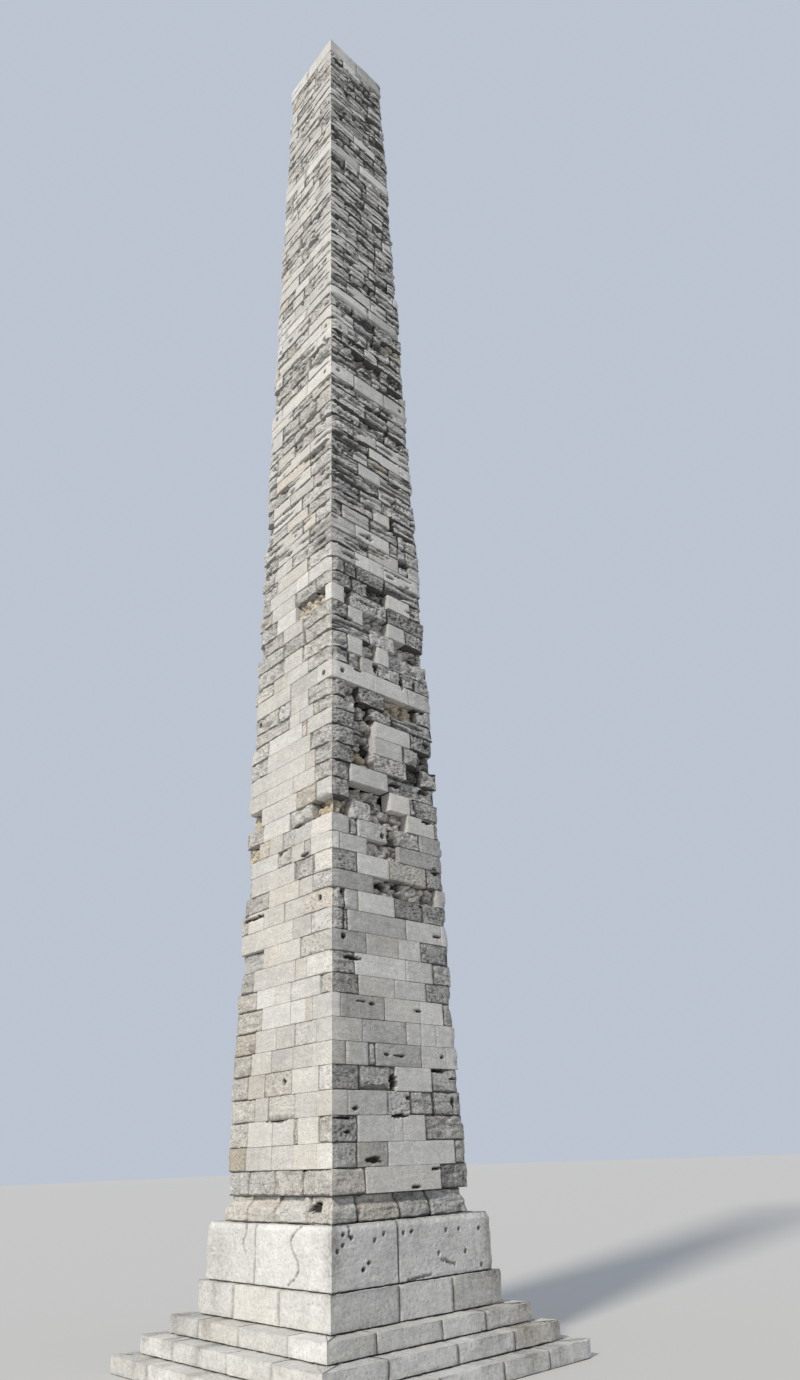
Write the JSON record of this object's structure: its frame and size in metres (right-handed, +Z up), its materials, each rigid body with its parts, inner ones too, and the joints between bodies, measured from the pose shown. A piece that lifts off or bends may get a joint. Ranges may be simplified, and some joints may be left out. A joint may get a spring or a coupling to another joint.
{
  "type": "masonry obelisk",
  "caption": "Tall tapering obelisk of weathered coursed limestone with robbed-out stones, pale band courses and a low pyramidion, on a marble pedestal with steps",
  "frame": {"origin": "middle of the bed face under the lowest step, at the ground", "axes": "+Z up the shaft; the front face of the obelisk looks along -Y and its left face along -X"},
  "size_m": [5.12, 5.12, 32.0055],
  "materials": {
    "marble": "weathered",
    "weathered_limestone": "rough",
    "repair_limestone": "dressed"
  },
  "bodies": {
    "root": {"arris_stone": "repair_limestone", "bridging_stone": "repair_limestone", "deep_repair_stone": "repair_limestone", "footing_course": "marble", "long_stone_course": "repair_limestone", "lower_step": "marble", "middle_step": "marble", "pale_band_course_1": "repair_limestone", "pale_band_course_2": "repair_limestone", "pale_band_course_3": "repair_limestone", "pedestal_back_left_block": "marble", "pedestal_back_right_block": "marble", "pedestal_front_left_block": "marble", "pedestal_front_right_block": "marble", "pyramidion": "repair_limestone", "recess_stone_left": "repair_limestone", "recess_stone_right": "repair_limestone", "shaft_lift_01": "weathered_limestone", "shaft_lift_02": "weathered_limestone", "shaft_lift_03": "weathered_limestone", "shaft_lift_04": "weathered_limestone", "shaft_lift_05": "weathered_limestone", "shaft_lift_06": "weathered_limestone", "shaft_lift_07": "weathered_limestone", "shaft_lift_08": "weathered_limestone", "shaft_lift_09": "weathered_limestone", "shaft_lift_10": "weathered_limestone", "shaft_lift_11": "weathered_limestone", "stone_beside_recess": "repair_limestone", "stone_under_bridge": "repair_limestone", "stone_under_long_course": "repair_limestone", "top_course": "repair_limestone", "undercut_base_course": "weathered_limestone", "upper_step": "marble"}
  },
  "joints": []
}
